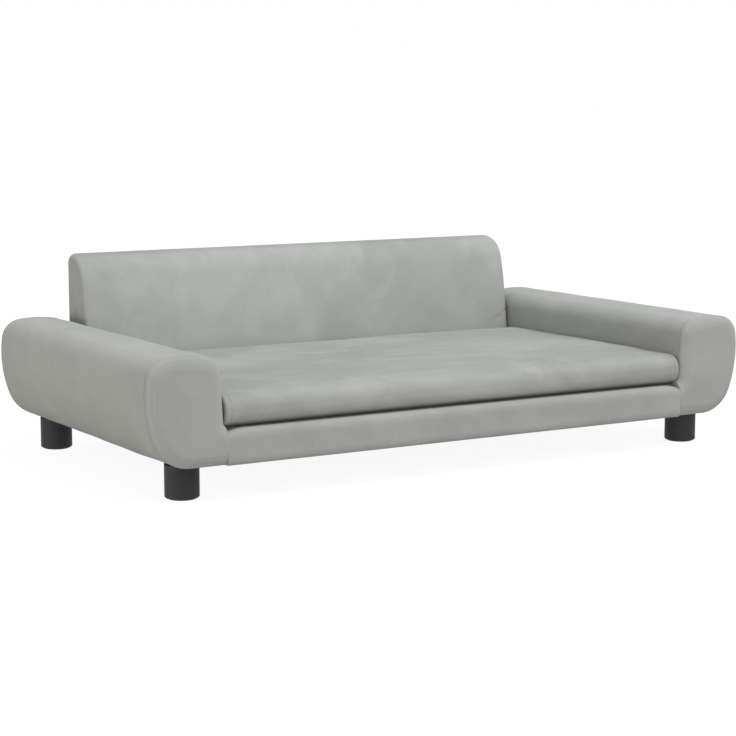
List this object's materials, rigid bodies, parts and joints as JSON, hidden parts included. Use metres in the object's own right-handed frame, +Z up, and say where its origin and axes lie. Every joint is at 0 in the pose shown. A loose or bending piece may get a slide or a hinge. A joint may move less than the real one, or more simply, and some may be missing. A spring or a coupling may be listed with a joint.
{
  "type": "dog bed",
  "caption": "Sofa-style dog bed with two fat rounded arms, a padded backrest, a padded base, a loose zipped seat cushion and short round feet.",
  "frame": {"origin": "on the floor under the middle of the bed", "axes": "+X to the right seen from the front, along the width; +Y to the rear, towards the backrest; +Z up"},
  "size_m": [1, 0.54, 0.292],
  "materials": {
    "velvet": "short pile, light grey, mottled where the nap is brushed",
    "foam": "open-cell upholstery foam, cream",
    "plywood": "raw birch plywood",
    "softwood": "planed raw pine",
    "fibreboard": "thin raw hardboard, bent round the formers",
    "foot_plastic": "satin black moulding",
    "glide_felt": "pressed black felt",
    "dust_cloth": "black non-woven cloth",
    "steel": "zinc plated",
    "zip_tape": "grey woven tape",
    "zip_coil": "grey nylon coil",
    "zip_metal": "grey enamel"
  },
  "bodies": {
    "bed": {"arm_front_pads": "foam", "arm_front_panels": "velvet", "arm_rear_pads": "foam", "arm_rear_panels": "velvet", "back_board": "plywood", "back_bottom_rail": "softwood", "back_cover": "velvet", "back_foam": "foam", "back_rear_panel": "velvet", "back_sill": "softwood", "back_top_rail": "softwood", "base_cover": "velvet", "base_foam": "foam", "centre_rail": "softwood", "deck_board": "plywood", "dust_cover": "dust_cloth", "feet": "foot_plastic", "foot_bolts": "steel", "foot_glides": "glide_felt", "foot_nuts": "steel", "front_rail": "softwood", "joint_bolts": "steel", "joint_nuts": "steel", "left_arm_batten": "softwood", "left_arm_bottom_board": "plywood", "left_arm_foam": "foam", "left_arm_front_former": "plywood", "left_arm_inner_board": "plywood", "left_arm_middle_former": "plywood", "left_arm_rear_former": "plywood", "left_arm_skin": "fibreboard", "left_arm_wrap": "velvet", "left_back_stile": "softwood", "left_side_rail": "softwood", "rear_rail": "softwood", "right_arm_batten": "softwood", "right_arm_bottom_board": "plywood", "right_arm_foam": "foam", "right_arm_front_former": "plywood", "right_arm_inner_board": "plywood", "right_arm_middle_former": "plywood", "right_arm_rear_former": "plywood", "right_arm_skin": "fibreboard", "right_arm_wrap": "velvet", "right_back_stile": "softwood", "right_side_rail": "softwood"},
    "cushion": {"cushion_cover": "velvet", "cushion_foam": "foam", "zip_tapes": "zip_tape", "zip_coils": "zip_coil"},
    "zip_slider": {"zip_slider": "zip_metal"}
  },
  "joints": [
    {"name": "cushion_lift", "type": "slide", "parent": "bed", "child": "cushion", "axis": [0, 0, 1], "range_m": [0, 0.22]},
    {"name": "zip_slide", "type": "slide", "parent": "cushion", "child": "zip_slider", "axis": [1, 0, 0], "range_m": [0, 0.623]}
  ]
}
